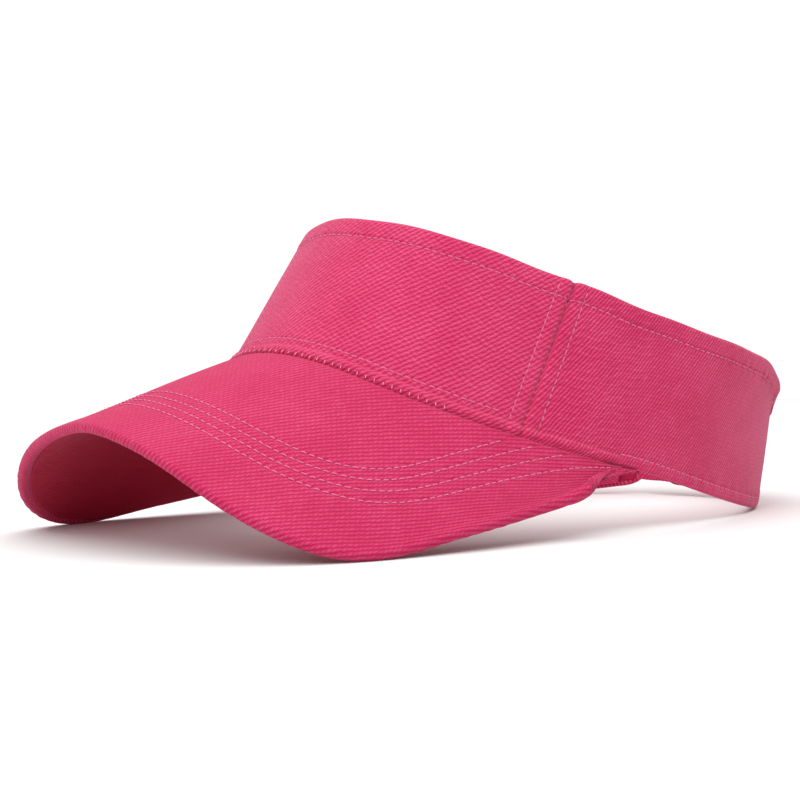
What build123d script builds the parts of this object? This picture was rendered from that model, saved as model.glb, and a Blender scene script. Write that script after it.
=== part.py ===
from build123d import *
from math import sin, cos, atan2, radians, degrees, sqrt, pi
import os

# ---------------------------------------------------------------- driving dimensions (mm)
# The wearer faces -Y; +X is the wearer's left; Z is up; the visor stands on z = 0.
TILT = 18.4             # the band's plane falls toward the back by this angle
BAND_Y, BAND_Z = 11.75, 20.6  # origin of the band's own frame
H_REF = 60.0            # height between the two ovals that define the band's wall
BOT = (78.4, 97.6, 62.4)     # lower oval: half width, front distance, front radius
TOP = (72.0, 79.7, 56.0)     # upper oval
A_FRONT, A_BACK = -39.0, 44.5   # wall directions where the oval's arcs meet
SEAM = -21.0            # wall direction of the two vertical seams
PANEL_END_X = 29.0      # each side panel stops this far from the centre line at the back
# side-view curves of the band's edges (distance back, height above the band's plane)
TOP_EDGE = [(-92, 65.0), (-80, 63.2), (-40, 58.0), (0, 55.9), (40, 57.6), (75, 61.3), (100, 62.0), (135, 61.0)]
LOW_EDGE = [(-99, 8.0), (-90, 4.9), (-78, 1.3), (-60, -2.0), (-40, -3.4), (-20, -2.6), (-4, 0.4),
            (12, 1.7), (40, 3.1), (60, 4.6), (80, 7.1), (96, 10.4), (106, 15.0), (115, 19.4), (135, 27.0)]
JOIN_EDGE = [(-99, 12.8), (-78, 5.5), (-60, 2.33), (-40, 0.95), (-20, 0.86), (0, 1.37)]
# cloth build-up, measured inward from the band's outer face
T_CLOTH, T_STIFF, T_LINING = 0.9, 0.6, 0.6
HEM_H = 9.0             # the turned-in hem along both long edges
T_SWEAT, SWEAT_H = 1.6, 27.0
# brim
GAM = 17.4              # the crown of the brim falls forward by this angle
BRIM_Y, BRIM_Z = -65.25, 64.82  # where the crown line meets the front panel
ARCH_A, ARCH_DA = 95.0, 0.241   # half width of the arch and its growth per mm forward
ARCH_B, ARCH_DB = 87.6, 0.366   # height of the arch and its growth per mm forward
ARCH_N = 1.815
HALF_W, LEN_F, SIDE_S = 88.2, 83.3, 17.0   # plan outline: half width, length, widest station
CORNER = 4.1            # squareness of the outline's front corners
REAR_S, REAR_X = -57.0, 81.1    # the outline's rear corner
T_BOARD = 1.8
SEWN_GAP = 0.6          # the brim is sewn on this far off the band's outer face
MIN_WIDTH = 1.5         # a layer stops where the brim gets narrower than this at its rear corner
WRAP = 3.0              # the top cover turns under the edge by this much
# closure at the back
STRAP_H, STRAP_LEN = 36.0, 58.0
T_STRAP, T_TAPE = 2.0, 1.0
GAP = 0.3


# ---------------------------------------------------------------- band geometry
def oval(h, d):
    """The band's oval at height h, moved inward by d: arc centres and radii."""
    u = h / H_REF
    w, f, rf = (BOT[k] + (TOP[k] - BOT[k]) * u for k in range(3))
    a1, a2 = radians(A_FRONT), radians(A_BACK)
    rs = (w - rf * cos(a1)) / (1 - cos(a1))
    rb = rs - (rs - rf) * cos(a1) / cos(a2)
    cf = (0, -f + rf)
    cs = (-(rs - rf) * cos(a1), cf[1] - (rs - rf) * sin(a1))
    cb = (0, cs[1] + (rs - rb) * sin(a2))
    return (cf, rf - d), (cs, rs - d), (cb, rb - d)


def wall(phi, h, d=0.0):
    """A point of the band's wall in the band's frame; phi is the outward direction in degrees."""
    front, side, back = oval(h, d)
    c, r = front if phi < A_FRONT else (side if phi < A_BACK else back)
    return (c[0] + r * cos(radians(phi)), c[1] + r * sin(radians(phi)), h)


BAND = Location((0, BAND_Y, BAND_Z), (-TILT, 0, 0))


def to_world(p):
    t = radians(TILT)
    return (p[0], BAND_Y + p[1] * cos(t) + p[2] * sin(t), BAND_Z - p[1] * sin(t) + p[2] * cos(t))


def oval_face(h, d):
    with BuildSketch(Plane.XY.offset(h)) as sk:
        with BuildLine():
            def pt(a, sx=1):
                x, y, _ = wall(a, h, d)
                return (sx * x, y)
            mid = (A_FRONT + A_BACK) / 2
            ThreePointArc(pt(A_FRONT, -1), pt(-90), pt(A_FRONT))
            ThreePointArc(pt(A_FRONT), pt(mid), pt(A_BACK))
            ThreePointArc(pt(A_BACK), pt(90), pt(A_BACK, -1))
            ThreePointArc(pt(A_BACK, -1), pt(mid, -1), pt(A_FRONT, -1))
        make_face()
    return sk.sketch


def band_solid(d, lo=-12.0, hi=78.0):
    with BuildPart() as p:
        loft(sections=[oval_face(lo, d), oval_face(hi, d)], ruled=True)
    return p.part


def between(lo_edge, lo, hi_edge, hi):
    """A prism across X, between one side-view edge raised by lo and another raised by hi."""
    with BuildPart() as p:
        with BuildSketch(Plane.YZ):
            with BuildLine():
                a = Spline([(y, z + lo) for y, z in lo_edge])
                b = Spline([(y, z + hi) for y, z in hi_edge])
                Line(a @ 0, b @ 0)
                Line(a @ 1, b @ 1)
            make_face()
        extrude(amount=130, both=True)
    return p.part


def seam_plane(phi, sx=1):
    """The plane across the wall at direction phi; its normal points to the back."""
    p0, p1 = wall(phi, 0), wall(phi, H_REF)
    r = Vector(sx * (p1[0] - p0[0]), p1[1] - p0[1], H_REF)
    n = Vector(sx * cos(radians(phi)), sin(radians(phi)), 0)
    z = n.cross(r) * (-sx)
    return Plane(origin=(sx * p0[0], p0[1], 0), x_dir=n, z_dir=z)


def half(solid, plane, keep):
    with BuildPart() as p:
        add(solid)
        split(bisect_by=plane, keep=keep)
    return p.part


def sector(solid, where):
    """Cut a ring to the front, left or right part of the band."""
    if where == "front":
        s = half(solid, seam_plane(SEAM, 1), Keep.BOTTOM)
        return half(s, seam_plane(SEAM, -1), Keep.BOTTOM)
    sx = 1 if where == "left" else -1
    s = half(solid, seam_plane(SEAM, sx), Keep.TOP)
    end = Plane(origin=(sx * PANEL_END_X, 0, 0), x_dir=(0, 1, 0), z_dir=(sx, 0, 0))
    return half(s, end, Keep.TOP)


def shell(d1, d2):
    return band_solid(d1) - band_solid(d2)


T_IN = T_CLOTH + T_STIFF + T_LINING          # depth of the lining's inner face
T_HEM = T_IN + T_CLOTH                       # depth of the hem's inner face
FULL = between(LOW_EDGE, 0, TOP_EDGE, 0)
CORE = between(LOW_EDGE, T_CLOTH, TOP_EDGE, -T_CLOTH)
HEM_TOP = between(TOP_EDGE, -HEM_H, TOP_EDGE, 0)
HEM_LOW = between(LOW_EDGE, 0, LOW_EDGE, HEM_H)


def panel(where):
    """Outer cloth of one panel, its long edges turned in as hems."""
    outer = shell(0, T_CLOTH) & FULL
    hems = (shell(0, T_HEM) & HEM_TOP) + (shell(0, T_HEM) & HEM_LOW)
    core = shell(T_CLOTH, T_IN) & CORE
    return sector((outer + hems) - core, where)


def inlay(d1, d2, where):
    return sector(shell(d1, d2) & CORE, where)


# ---------------------------------------------------------------- brim geometry
def arch(x, s):
    a, b = ARCH_A + ARCH_DA * s, ARCH_B + ARCH_DB * s
    return b * ((1 - min(abs(x) / a, 0.9999) ** ARCH_N) ** (1 / ARCH_N) - 1)


def brim_point(x, s):
    g, h = radians(GAM), arch(x, s)
    return (x, BRIM_Y - s * cos(g) - h * sin(g), BRIM_Z - s * sin(g) + h * cos(g))


def outline(t):
    """Half outline of the brim: t 0..1 front centre to widest station, 1..2 on to the rear corner."""
    if t <= 1:
        a = t * pi / 2
        return (HALF_W * sin(a) ** (2 / CORNER), SIDE_S + (LEN_F - SIDE_S) * cos(a) ** (2 / CORNER))
    s = SIDE_S + (REAR_S - SIDE_S) * (t - 1)
    return (HALF_W - (HALF_W - REAR_X) * (t - 1) ** 2, s)


def join_height(y):
    k = min(max(i for i in range(len(JOIN_EDGE)) if JOIN_EDGE[i][0] <= y), len(JOIN_EDGE) - 2)
    (y0, z0), (y1, z1) = JOIN_EDGE[k], JOIN_EDGE[k + 1]
    def slope(i):
        i0, i1 = max(i - 1, 0), min(i + 1, len(JOIN_EDGE) - 1)
        return (JOIN_EDGE[i1][1] - JOIN_EDGE[i0][1]) / (JOIN_EDGE[i1][0] - JOIN_EDGE[i0][0])
    w, u = y1 - y0, (y - y0) / (y1 - y0)
    return ((2 * u**3 - 3 * u**2 + 1) * z0 + (u**3 - 2 * u**2 + u) * w * slope(k)
            + (3 * u**2 - 2 * u**3) * z1 + (u**3 - u**2) * w * slope(k + 1))


def join_point(phi):
    """The join of brim and band in the world, on the outer face of the band."""
    h = 0.0
    for _ in range(4):
        h = join_height(max(wall(phi, h)[1], -98.9))
    return to_world(wall(phi, h))


def ruling(t):
    """The straight line of the brim that ends at outline(t): its inner and outer end."""
    x, s = outline(t)
    share = min(x / (ARCH_A + ARCH_DA * s), 0.972)
    lo, hi = -90.0, -4.0
    for _ in range(30):
        mid = (lo + hi) / 2
        p = join_point(mid)
        back = -(p[1] - BRIM_Y) * cos(radians(GAM)) - (p[2] - BRIM_Z) * sin(radians(GAM))
        if p[0] / (ARCH_A + ARCH_DA * back) < share:
            lo = mid
        else:
            hi = mid
    return Vector(*join_point(lo)), Vector(*brim_point(x, s))


N_HALF = 22
STATIONS = [2 * (k / N_HALF) ** 1.3 for k in range(N_HALF + 1)]


def frames():
    """Rulings with the brim's downward normal, from the right rear corner round to the left one."""
    rows = []
    for t in STATIONS:
        j, o = ruling(t)
        o2, o1 = ruling(min(t + 0.004, 2.0))[1], ruling(max(t - 0.004, 0.0))[1]
        d = (o - j).normalized()
        along = (o2 - o1).normalized() if t > 0 else Vector(1, 0, 0)
        n = along.cross(d).normalized()
        if n.dot(Vector(-1, 0, -1)) < 0:
            n = n * -1
        flat = Vector(-1, 0, -0.25)          # close to the wall the brim lies along it
        flat = (flat - d * flat.dot(d)).normalized()
        near_wall = min(max((t - 1.1) / 0.5, 0.0), 1.0)
        rows.append((j, o, (n * (1 - near_wall) + flat * near_wall).normalized()))
    flip = [(Vector(-j.X, j.Y, j.Z), Vector(-o.X, o.Y, o.Z), Vector(-n.X, n.Y, n.Z)) for j, o, n in rows[1:]]
    return flip[::-1] + rows


FRAMES = frames()


def wall_gap(p):
    """Distance of a world point outside the band's outer face (negative inside)."""
    t, y, z = radians(TILT), p.Y - BAND_Y, p.Z - BAND_Z
    x, y, h = abs(p.X), y * cos(t) - z * sin(t), y * sin(t) + z * cos(t)
    front, side, back = oval(h, 0)
    for (cx, cy), r, hi in ((front[0], front[1], A_FRONT), (side[0], side[1], A_BACK), (back[0], back[1], 90)):
        if degrees(atan2(y - cy, x - cx)) <= hi:
            break
    return sqrt((x - cx) ** 2 + (y - cy) ** 2) - r


def meet_wall(p, d):
    """Slide a point along the brim until it stands just off the band's outer face."""
    lo, hi = -8.0, 30.0
    for _ in range(30):
        mid = (lo + hi) / 2
        if wall_gap(p + d * mid) < SEWN_GAP:
            lo = mid
        else:
            hi = mid
    return p + d * hi


def closed_loft(wires):
    """Ruled loft through the sections. A loft that comes out inside-out is made again
    with one section near the rear corners left out."""
    for skip in range(len(wires) // 3):
        solid = Solid.make_loft(wires[:1] + wires[1 + skip:len(wires) - 1 - skip] + wires[-1:], ruled=True)
        if solid.volume > 0:
            return solid
    raise ValueError("no loft came out right side out")


def brim_layer(corners):
    """Loft a closed outline along the brim. Each corner is (edge, along, down): edge "J" is where
    the brim meets the band's wall, "O" is the outer edge, along is mm outward, down is depth in mm."""
    wires = []
    for j, o, n in FRAMES:
        d = (o - j).normalized()
        inner = [meet_wall(j + n * b, d) for k, a, b in corners if k == "J"]
        outer = [o + d * a + n * b for k, a, b in corners if k == "O"]
        room = (o - j).length - max((p - j).dot(d) for p in inner) - WRAP
        if room > MIN_WIDTH:
            wires.append(Wire.make_polygon([tuple(p) for p in inner[:1] + outer + inner[1:]], close=True))
    return closed_loft(wires)


T_TOPC = T_CLOTH
D_BOARD = T_TOPC + T_BOARD
D_UNDER = D_BOARD + T_CLOTH
ROWS = [(79.0, 65.0), (76.0, 61.0), (73.0, 57.0), (70.0, 52.5)]   # stitch rows: half width, forward reach
ROW_N = 3.6


def row_point(j, o, row):
    """Where a ruling crosses a stitch row, or None past the row's end."""
    half_w, reach = row

    def side(p):
        g = radians(GAM)
        s = -(p.Y - BRIM_Y) * cos(g) - (p.Z - BRIM_Z) * sin(g)
        return (abs(p.X) / half_w) ** ROW_N + (max(s, 0) / reach) ** ROW_N - 1
    if side(j) > -0.02:
        return None
    lo, hi = 0.0, 1.0
    for _ in range(24):
        mid = (lo + hi) / 2
        if side(j + (o - j) * mid) < 0:
            lo = mid
        else:
            hi = mid
    return j + (o - j) * lo


def thread_row(row):
    """One row of thread lying on the brim's top cover."""
    line = [(row_point(j, o, row), n) for j, o, n in FRAMES]
    line = [(p, n) for p, n in line if p is not None]
    wires = []
    for k, (p, n) in enumerate(line):
        along = (line[min(k + 1, len(line) - 1)][0] - line[max(k - 1, 0)][0]).normalized()
        w = along.cross(n).normalized() * 0.3
        low, high = n * -0.4, n * -0.7
        corners = [p - w + low, p + w + low, p + w + high, p - w + high]
        wires.append(Wire.make_polygon([tuple(c) for c in corners], close=True))
    return closed_loft(wires)


# ---------------------------------------------------------------- band parts
with BuildPart() as front_panel:
    add(panel("front").moved(BAND))
with BuildPart() as front_interlining:
    add(inlay(T_CLOTH, T_CLOTH + T_STIFF, "front").moved(BAND))
with BuildPart() as front_lining:
    add(inlay(T_CLOTH + T_STIFF, T_IN, "front").moved(BAND))
with BuildPart() as side_panel_left:
    add(panel("left").moved(BAND))
with BuildPart() as side_panel_right:
    add(panel("right").moved(BAND))
with BuildPart() as side_interlining_left:
    add(inlay(T_CLOTH, T_CLOTH + T_STIFF, "left").moved(BAND))
with BuildPart() as side_interlining_right:
    add(inlay(T_CLOTH, T_CLOTH + T_STIFF, "right").moved(BAND))
with BuildPart() as side_lining_left:
    add(inlay(T_CLOTH + T_STIFF, T_IN, "left").moved(BAND))
with BuildPart() as side_lining_right:
    add(inlay(T_CLOTH + T_STIFF, T_IN, "right").moved(BAND))


# ---------------------------------------------------------------- sweatband and seam tapes
def sweatband_solid():
    ring = shell(T_HEM, T_HEM + T_SWEAT) & between(LOW_EDGE, 1.0, LOW_EDGE, SWEAT_H)
    cut = Plane(origin=(0, wall(90, 0)[1] - 14, 0), x_dir=(1, 0, 0), z_dir=(0, 1, 0))
    s = half(ring, cut, Keep.BOTTOM)
    return s


def seam_tape(sx):
    ring = shell(T_IN, T_IN + 0.5) & between(LOW_EDGE, HEM_H, TOP_EDGE, -HEM_H)
    w = 2.6
    s = half(ring, seam_plane(SEAM - w, sx), Keep.TOP)
    return half(s, seam_plane(SEAM + w, sx), Keep.BOTTOM)


with BuildPart() as sweatband:
    add(sweatband_solid().moved(BAND))
with BuildPart() as seam_tape_left:
    add(seam_tape(1).moved(BAND))
with BuildPart() as seam_tape_right:
    add(seam_tape(-1).moved(BAND))


# ---------------------------------------------------------------- stitching on the band
def thread_ring(edge, offset):
    return shell(-0.3, 0) & between(edge, offset - 0.3, edge, offset + 0.3)


with BuildPart() as top_edge_stitching:
    add(sector(thread_ring(TOP_EDGE, -7.0), "front").moved(BAND))
    for side in ("left", "right"):
        add(sector(thread_ring(TOP_EDGE, -7.0), side).moved(BAND))
with BuildPart() as lower_edge_stitching:
    for side in (1, -1):
        s = half(thread_ring(LOW_EDGE, 4.0), seam_plane(0.5, side), Keep.TOP)
        end = Plane(origin=(side * PANEL_END_X, 0, 0), x_dir=(0, 1, 0), z_dir=(side, 0, 0))
        add(half(s, end, Keep.TOP).moved(BAND))
with BuildPart() as side_seam_stitching:
    for side in (1, -1):
        for off in (-3.4, 2.6):
            s = shell(-0.3, 0) & between(JOIN_EDGE, 2.0, TOP_EDGE, -8.0)
            s = half(s, seam_plane(SEAM + off - 0.15, side), Keep.TOP)
            s = half(s, seam_plane(SEAM + off + 0.15, side), Keep.BOTTOM)
            add(s.moved(BAND))

# ---------------------------------------------------------------- brim parts
with BuildPart() as brim_top_cover:
    add(brim_layer([("J", 0, 0), ("O", 0, 0), ("O", 0, D_UNDER), ("O", -WRAP, D_UNDER), ("O", -WRAP, D_BOARD),
                    ("O", -T_TOPC, D_BOARD), ("O", -T_TOPC, T_TOPC), ("J", 0, T_TOPC)]))
with BuildPart() as brim_board:
    add(brim_layer([("J", 0, T_TOPC), ("O", -T_TOPC, T_TOPC), ("O", -T_TOPC, D_BOARD), ("J", 0, D_BOARD)]))
with BuildPart() as brim_bottom_cover:
    add(brim_layer([("J", 0, D_BOARD), ("O", -WRAP, D_BOARD), ("O", -WRAP, D_UNDER), ("J", 0, D_UNDER)]))


with BuildPart() as brim_stitching:
    for thread in ROWS:
        add(thread_row(thread))


# ---------------------------------------------------------------- hook-and-loop closure
def plan_strip(x_from, x_to, depths, z_lo, z_hi, corner):
    """A strip standing across the back, between two depths given as functions of x;
    its free end has rounded corners."""
    outer, inner = depths

    def y_at(x, d):
        _, _, (c, r) = oval(30, d)
        return c[1] + sqrt(r * r - x * x)

    xs = [x_from + (x_to - x_from) * k / 8 for k in range(9)]
    with BuildPart() as p:
        with BuildSketch(Plane.XY.offset(z_lo)):
            with BuildLine():
                a = Spline([(x, y_at(x, outer(x))) for x in xs])
                b = Spline([(x, y_at(x, inner(x))) for x in xs])
                Line(a @ 0, b @ 0)
                Line(a @ 1, b @ 1)
            make_face()
        extrude(amount=z_hi - z_lo)
        with BuildSketch(Plane.XZ):
            with Locations(((x_from + x_to) / 2, (z_lo + z_hi) / 2)):
                Rectangle(abs(x_to - x_from) + 2, z_hi - z_lo)
            free = sorted(vertices(), key=lambda v: abs(v.X - x_to))[:2]
            fillet(free, radius=corner)
        extrude(amount=200, both=True, mode=Mode.INTERSECT)
    return p.part


STRAP_LO, STRAP_HI = 22.0, 22.0 + STRAP_H
ROOT = PANEL_END_X - GAP
TIP = ROOT - STRAP_LEN
IN_D = T_STRAP + 2 * T_TAPE + GAP            # depth of the inner strap in the overlap


def ease(x):
    """Depth of the inner strap: level with the panel at its root, stepping in before the overlap."""
    u = min(max((x + ROOT) / 13.0, 0.0), 1.0)
    return 0.2 + (IN_D - 0.2) * (3 * u * u - 2 * u**3)


with BuildPart() as hook_strap:
    add(plan_strip(ROOT, TIP + 8, (lambda x: 0.0, lambda x: T_STRAP), STRAP_LO, STRAP_HI, 7).moved(BAND))
with BuildPart() as hook_tape:
    add(plan_strip(ROOT - 14, TIP + 11, (lambda x: T_STRAP, lambda x: T_STRAP + T_TAPE),
                   STRAP_LO + 5, STRAP_HI - 5, 3).moved(BAND))
with BuildPart() as loop_strap:
    add(plan_strip(-ROOT, -TIP - 4, (ease, lambda x: ease(x) + T_STRAP), STRAP_LO, STRAP_HI, 7).moved(BAND))
with BuildPart() as loop_tape:
    add(plan_strip(-ROOT + 17, -TIP - 7, (lambda x: IN_D - T_TAPE - 0.05, lambda x: IN_D - 0.05),
                   STRAP_LO + 5, STRAP_HI - 5, 3).moved(BAND))

# ---------------------------------------------------------------- names and files
front_panel.part.label = "front_panel"
front_interlining.part.label = "front_interlining"
front_lining.part.label = "front_lining"
side_panel_left.part.label = "side_panel_left"
side_panel_right.part.label = "side_panel_right"
side_interlining_left.part.label = "side_interlining_left"
side_interlining_right.part.label = "side_interlining_right"
side_lining_left.part.label = "side_lining_left"
side_lining_right.part.label = "side_lining_right"
sweatband.part.label = "sweatband"
seam_tape_left.part.label = "seam_tape_left"
seam_tape_right.part.label = "seam_tape_right"
top_edge_stitching.part.label = "top_edge_stitching"
lower_edge_stitching.part.label = "lower_edge_stitching"
side_seam_stitching.part.label = "side_seam_stitching"
brim_top_cover.part.label = "brim_top_cover"
brim_board.part.label = "brim_board"
brim_bottom_cover.part.label = "brim_bottom_cover"
brim_stitching.part.label = "brim_stitching"
hook_strap.part.label = "hook_strap"
hook_tape.part.label = "hook_tape"
loop_strap.part.label = "loop_strap"
loop_tape.part.label = "loop_tape"

os.makedirs("parts", exist_ok=True)
export_step(front_panel.part, "parts/front_panel.step")
export_step(front_interlining.part, "parts/front_interlining.step")
export_step(front_lining.part, "parts/front_lining.step")
export_step(side_panel_left.part, "parts/side_panel_left.step")
export_step(side_panel_right.part, "parts/side_panel_right.step")
export_step(side_interlining_left.part, "parts/side_interlining_left.step")
export_step(side_interlining_right.part, "parts/side_interlining_right.step")
export_step(side_lining_left.part, "parts/side_lining_left.step")
export_step(side_lining_right.part, "parts/side_lining_right.step")
export_step(sweatband.part, "parts/sweatband.step")
export_step(seam_tape_left.part, "parts/seam_tape_left.step")
export_step(seam_tape_right.part, "parts/seam_tape_right.step")
export_step(top_edge_stitching.part, "parts/top_edge_stitching.step")
export_step(lower_edge_stitching.part, "parts/lower_edge_stitching.step")
export_step(side_seam_stitching.part, "parts/side_seam_stitching.step")
export_step(brim_top_cover.part, "parts/brim_top_cover.step")
export_step(brim_board.part, "parts/brim_board.step")
export_step(brim_bottom_cover.part, "parts/brim_bottom_cover.step")
export_step(brim_stitching.part, "parts/brim_stitching.step")
export_step(hook_strap.part, "parts/hook_strap.step")
export_step(hook_tape.part, "parts/hook_tape.step")
export_step(loop_strap.part, "parts/loop_strap.step")
export_step(loop_tape.part, "parts/loop_tape.step")
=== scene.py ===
import math

import bpy
import numpy as np
from mathutils import Matrix, Vector


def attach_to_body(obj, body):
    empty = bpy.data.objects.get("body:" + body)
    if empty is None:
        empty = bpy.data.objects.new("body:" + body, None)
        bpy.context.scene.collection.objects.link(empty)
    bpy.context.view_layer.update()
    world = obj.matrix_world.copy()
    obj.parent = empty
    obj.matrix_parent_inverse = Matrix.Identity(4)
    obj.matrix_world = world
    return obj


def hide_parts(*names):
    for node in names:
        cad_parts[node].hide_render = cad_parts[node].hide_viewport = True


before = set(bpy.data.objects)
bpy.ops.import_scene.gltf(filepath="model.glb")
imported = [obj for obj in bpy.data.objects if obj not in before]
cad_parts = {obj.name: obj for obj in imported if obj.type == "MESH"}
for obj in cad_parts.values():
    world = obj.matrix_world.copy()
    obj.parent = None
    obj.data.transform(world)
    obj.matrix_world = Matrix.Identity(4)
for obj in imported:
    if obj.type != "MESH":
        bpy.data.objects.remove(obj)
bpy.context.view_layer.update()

MM = 0.001

# ---------------------------------------------------------------- driving dimensions (mm)
TILT = math.radians(18.4)          # the band's plane falls toward the back
BAND_Y, BAND_Z = 11.75, 20.6       # origin of the band's own frame
H_REF = 60.0
BOT = np.array([78.4, 97.6, 62.4])  # lower oval: half width, front distance, front radius
TOP = np.array([72.0, 79.7, 56.0])  # upper oval
A_FRONT, A_BACK = math.radians(-39.0), math.radians(44.5)
SEAM_Q = 69.0                      # the vertical seams, in degrees round from the front
PANEL_END_X = 29.0                 # each side panel stops this far from the centre line
# heights of the band's edges against distance behind the origin, in the band's own frame
TOP_EDGE = [(-92, 65.0), (-80, 63.2), (-40, 58.0), (0, 55.9), (40, 57.6), (75, 61.3), (100, 62.0),
            (135, 61.0)]
LOW_EDGE = [(-99, 8.0), (-90, 4.9), (-78, 1.3), (-60, -2.0), (-40, -3.4), (-20, -2.6), (-4, 0.4),
            (12, 1.7), (40, 3.1), (60, 4.6), (80, 7.1), (96, 10.4), (106, 15.0), (115, 19.4), (135, 27.0)]
JOIN_EDGE = [(-99, 12.8), (-78, 5.5), (-60, 2.33), (-40, 0.95), (-20, 0.86), (0, 1.37)]
HEM = 9.0                          # depth of the turned-in hems
TOP_STITCH = 6.8                   # topstitch below the upper edge
LOW_STITCH = 4.0                   # topstitch above the lower edge
SEAM_STITCH = 5.2                  # topstitch each side of a vertical seam
GAM = math.radians(17.4)           # the brim's crown falls forward
BRIM_Y, BRIM_Z = -65.25, 64.82     # the crown line's start
# the arch is a superellipse; its half width A and height B grow forward by DA and DB per mm
ARCH_A, ARCH_DA, ARCH_B, ARCH_DB, ARCH_N = 95.0, 0.241, 87.6, 0.366, 1.815
# outline: half width, forward reach, place where it is widest, roundness
HALF_W, LEN_F, SIDE_S, CORNER = 88.2, 83.3, 17.0, 4.1
REAR_S, REAR_X = -57.0, 81.1       # the outline's rear corner
TIP_X = 79.3                       # its last stretch is drawn in to here
BRIM_T = 3.6                       # brim thickness
ROWS = [(79.0, 65.0), (76.0, 61.0), (73.0, 57.0), (70.0, 52.5)]    # stitch rows: half width, reach
ROW_N = 3.6                        # roundness of the rows
STRAP_LO, STRAP_HI = 22.0, 58.0    # the straps' edges, up the band
STITCH_STEP, STITCH_LEN = 2.75, 2.15
THREAD_LIFT = 0.12                 # threads lie this far off the cloth
CLOTH_T, INNER_T = 0.55, 0.35      # outer twill; lining and interlining
LINING_D, STIFF_D, TAPE_D, SWEAT_D = 2.05, 1.5, 2.6, 3.0    # depths behind the outer face
INNER_EDGE = 2.0                   # lining and interlining stop this far inside the panel's edges
SWEAT_LO, SWEAT_H = 1.2, 25.4      # sweatband: start above the lower edge, and height
SEAM_LAP = 0.15                    # the panels' rolled edges overlap at a vertical seam
PANEL_CORNER = 7.0                 # rounded corners of the panels and straps
HOOK_END_X, LOOP_END_X = -21.3, 25.3    # free ends of the two straps


# ---------------------------------------------------------------- small helpers
def curve_through(points, x):
    """Smooth curve through a few points, as a function of the first coordinate."""
    px, pz = np.array(points, float).T
    x = np.clip(x, px[0], px[-1])
    k = np.clip(np.searchsorted(px, x, side="right") - 1, 0, len(px) - 2)
    i0, i1 = np.maximum(np.arange(len(px)) - 1, 0), np.minimum(np.arange(len(px)) + 1, len(px) - 1)
    slope = (pz[i1] - pz[i0]) / (px[i1] - px[i0])
    w = px[k + 1] - px[k]
    u = (x - px[k]) / w
    return ((2 * u**3 - 3 * u**2 + 1) * pz[k] + (u**3 - 2 * u**2 + u) * w * slope[k]
            + (3 * u**2 - 2 * u**3) * pz[k + 1] + (u**3 - u**2) * w * slope[k + 1])


def smooth(a, b, x):
    """Eases from 0 at a to 1 at b."""
    t = np.clip((x - a) / (b - a), 0, 1)
    return t * t * (3 - 2 * t)


def ripple(u, v, size, seed):
    """Smooth uneven waves, about -1 to 1, with crests roughly `size` apart."""
    rng = np.random.default_rng(seed)
    total = 0.0
    for _ in range(7):
        ang = rng.uniform(0, math.pi)
        k = 2 * math.pi / (size * rng.uniform(0.7, 1.6))
        total = total + np.sin(k * (u * math.cos(ang) + v * math.sin(ang)) + rng.uniform(0, 6.28))
    return total / 3.5


def wave_1d(s, size, seed):
    """The same along one line."""
    rng = np.random.default_rng(seed)
    total = 0.0
    for _ in range(5):
        total = total + np.sin(2 * math.pi * s / (size * rng.uniform(0.7, 1.5)) + rng.uniform(0, 6.28))
    return total / 2.5


def groove(x, width):
    """A smooth bump, 1 at x = 0, that fades over about the width."""
    return np.exp(-(x / width) ** 2)


def run_along(points):
    """Distance along the first axis of an array of points."""
    steps = np.linalg.norm(np.diff(points, axis=0), axis=-1)
    return np.concatenate([np.zeros_like(steps[:1]), np.cumsum(steps, axis=0)])


def resample(points, run, at):
    """The points at distances `at` along a path."""
    return np.stack([np.interp(at, run, points[:, i]) for i in range(points.shape[1])], -1)


def corner_cut(to_end, radius=PANEL_CORNER):
    """How much a rounded corner takes off an edge that close to its end."""
    near = np.clip(radius - to_end, 0, radius)
    return radius - np.sqrt(np.clip(radius**2 - near**2, 0, None))


# ---------------------------------------------------------------- the band's wall
def oval_params(h):
    """The oval at a height, of arcs: front, side and back radii, then the arcs' centres."""
    u = np.asarray(h, float) / H_REF
    w, f, rf = (BOT[k] + (TOP[k] - BOT[k]) * u for k in range(3))
    rs = (w - rf * math.cos(A_FRONT)) / (1 - math.cos(A_FRONT))
    rb = rs - (rs - rf) * math.cos(A_FRONT) / math.cos(A_BACK)
    cfy = -f + rf
    csx, csy = -(rs - rf) * math.cos(A_FRONT), cfy - (rs - rf) * math.sin(A_FRONT)
    cby = csy + (rs - rb) * math.sin(A_BACK)
    return rf, rs, rb, cfy, csx, csy, cby


def rear_spread(q, h):
    """The lower part of the wall spreads a little at the back (mm)."""
    return 4.6 * smooth(95.0, 138.0, np.abs(q)) * np.clip(1 - np.asarray(h) / 50.0, 0, 1.1)


def wall(q, h, d=0.0):
    """Band-frame points: q degrees round from the front (+ left), h height, d depth inward."""
    q, h, d = np.broadcast_arrays(np.asarray(q, float), np.asarray(h, float), np.asarray(d, float))
    phi = np.radians(np.abs(q) - 90)
    rf, rs, rb, cfy, csx, csy, cby = oval_params(h)
    front, side = phi < A_FRONT, phi < A_BACK
    r = np.where(front, rf, np.where(side, rs, rb)) - d + rear_spread(q, h)
    cx = np.where(front, 0, np.where(side, csx, 0))
    cy = np.where(front, cfy, np.where(side, csy, cby))
    return np.stack([np.sign(q + 1e-12) * (cx + r * np.cos(phi)), cy + r * np.sin(phi), h], -1)


def outward(q, h):
    """Direction out of the wall (not unit length)."""
    return to_world(wall(q, h, -10.0)) - to_world(wall(q, h, 0.0))


def to_world(p):
    x, y, z = p[..., 0], p[..., 1], p[..., 2]
    c, s = math.cos(TILT), math.sin(TILT)
    return np.stack([x, BAND_Y + y * c + z * s, BAND_Z - y * s + z * c], -1)


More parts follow.
